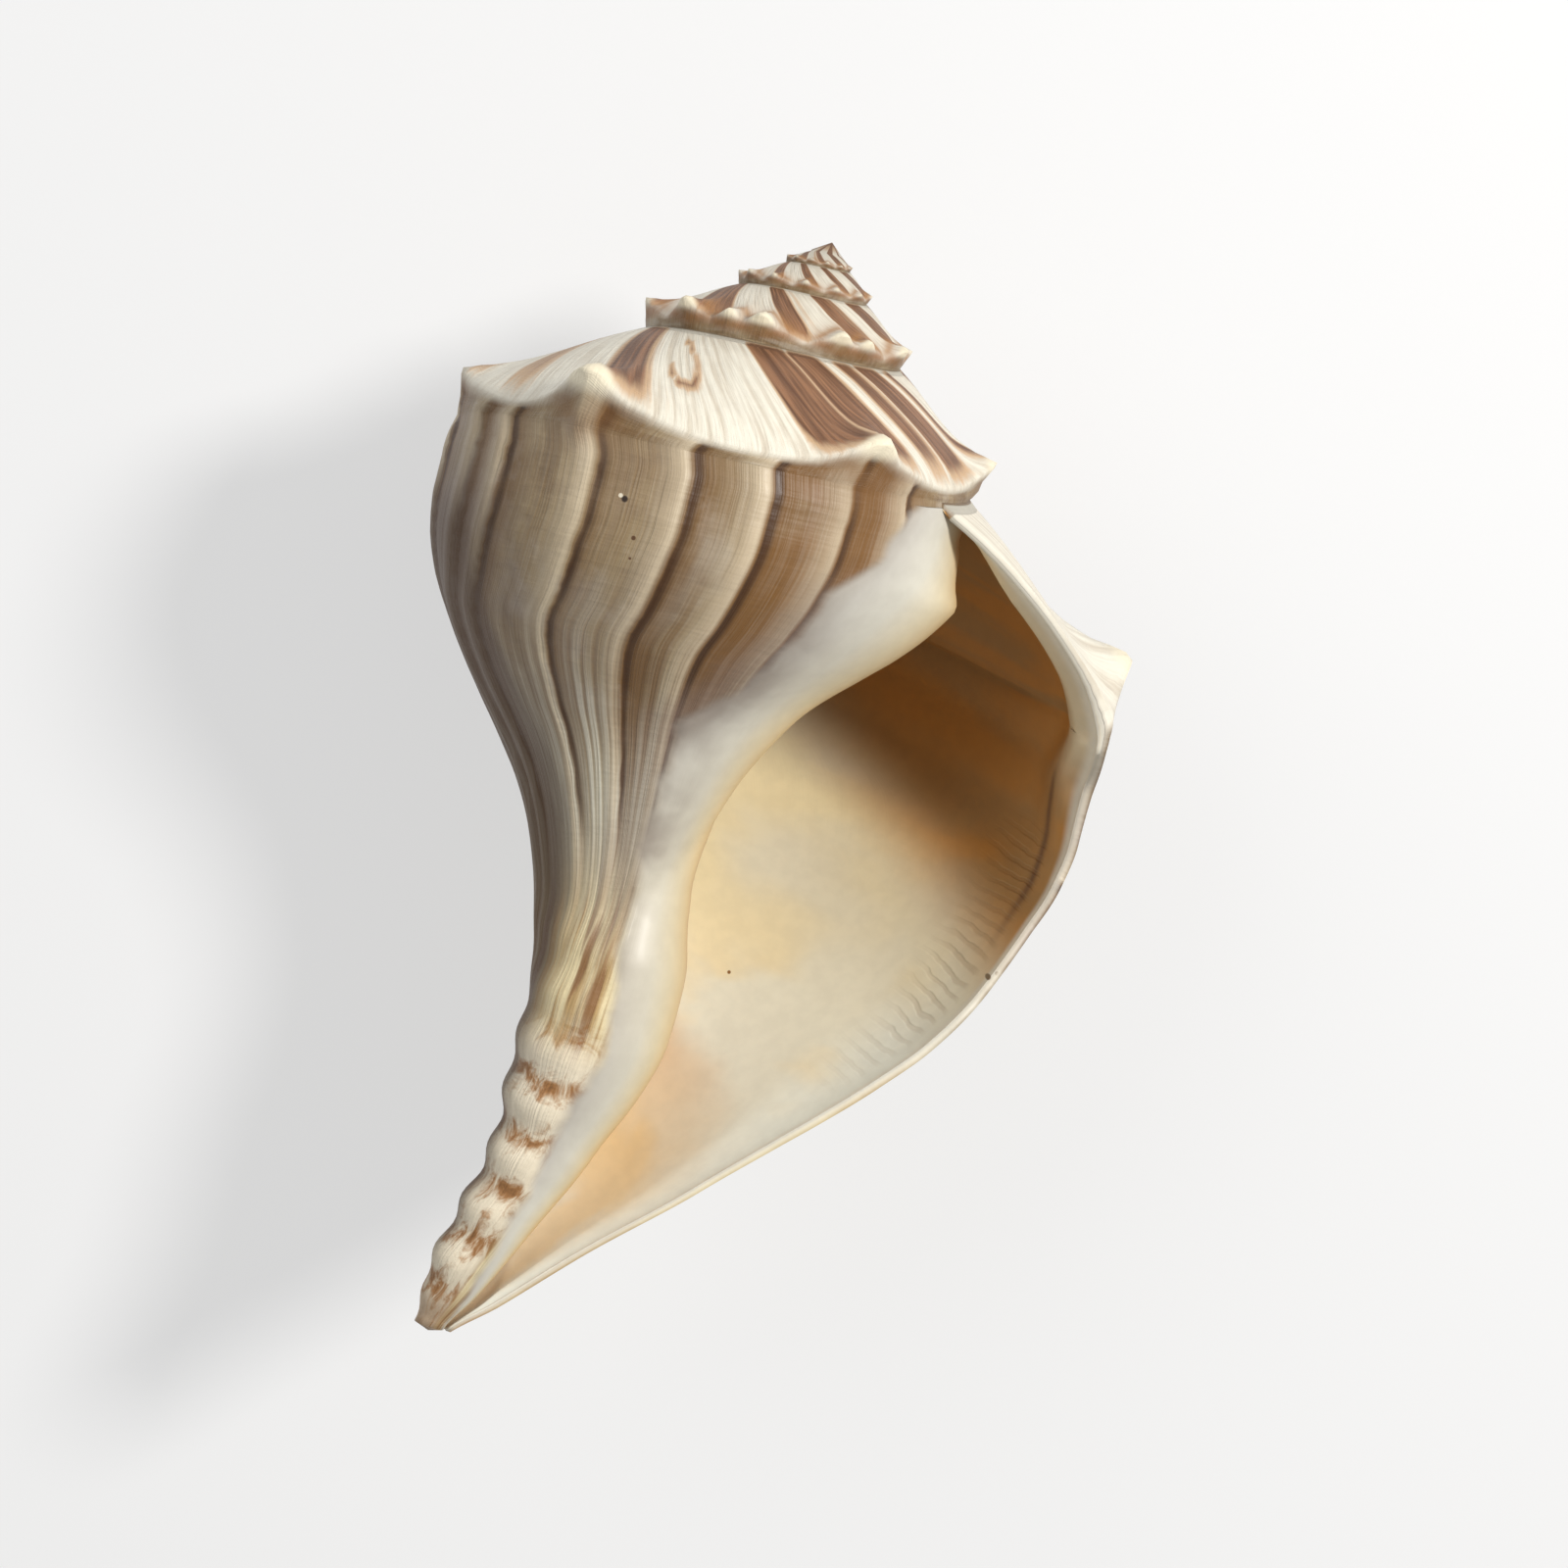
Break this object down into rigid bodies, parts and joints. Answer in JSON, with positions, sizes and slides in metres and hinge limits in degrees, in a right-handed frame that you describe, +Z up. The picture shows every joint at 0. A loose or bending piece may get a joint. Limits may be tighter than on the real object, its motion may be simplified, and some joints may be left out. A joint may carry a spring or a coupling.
{
  "type": "conch shell",
  "caption": "Knobbed whelk shell, the kind sold as a conch, lying on its back with its wide mouth and long canal facing up.",
  "frame": {"origin": "centre of the bounding box in plan, at the height of the surface that the shell lies on", "axes": "+Z up; the spire points to about +Y and the canal to -Y, the outer lip is at +X and the mouth opens upwards"},
  "size_m": [0.1084, 0.1696, 0.088],
  "materials": {
    "shell": "natural shell: satin ribs and streaks outside, glossy glaze round the mouth and inside"
  },
  "bodies": {
    "root": {"whelk_shell": "shell"}
  },
  "joints": []
}
